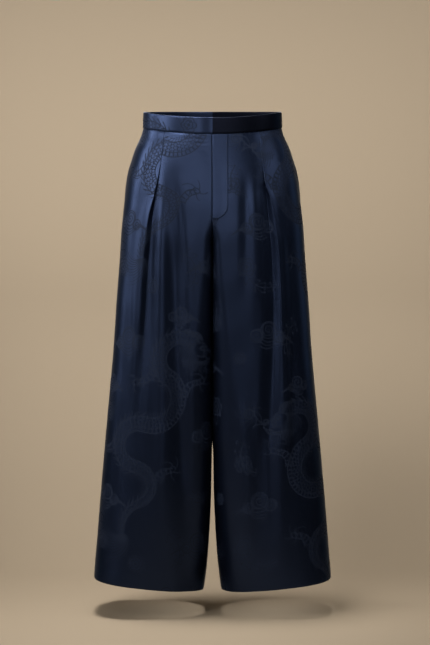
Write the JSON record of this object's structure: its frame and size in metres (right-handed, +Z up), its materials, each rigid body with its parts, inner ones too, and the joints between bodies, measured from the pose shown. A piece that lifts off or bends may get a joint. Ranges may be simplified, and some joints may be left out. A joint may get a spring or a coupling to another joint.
{
  "type": "wide-leg trousers with knife pleats, of figured satin",
  "caption": "High-waisted wide-leg trousers, standing open as worn: a plain waistband, a fly, a stitched-down knife pleat in each front, side-seam pockets and flared legs.",
  "frame": {"origin": "the middle of the waist, level with the waistband's top edge at the sides and back", "axes": "+Z up, the front faces -Y, +X is the wearer's left"},
  "size_m": [0.4996, 0.2468, 1],
  "materials": {
    "figured_satin": "navy satin with a matte woven figure",
    "plain_satin": "navy satin, interfaced and pressed"
  },
  "bodies": {
    "root": {"front_right": "figured_satin", "front_left": "figured_satin", "back_right": "figured_satin", "back_left": "figured_satin", "fly": "figured_satin", "pocket_right": "figured_satin", "pocket_left": "figured_satin", "waistband_right": "figured_satin", "waistband_left": "plain_satin"}
  },
  "joints": []
}
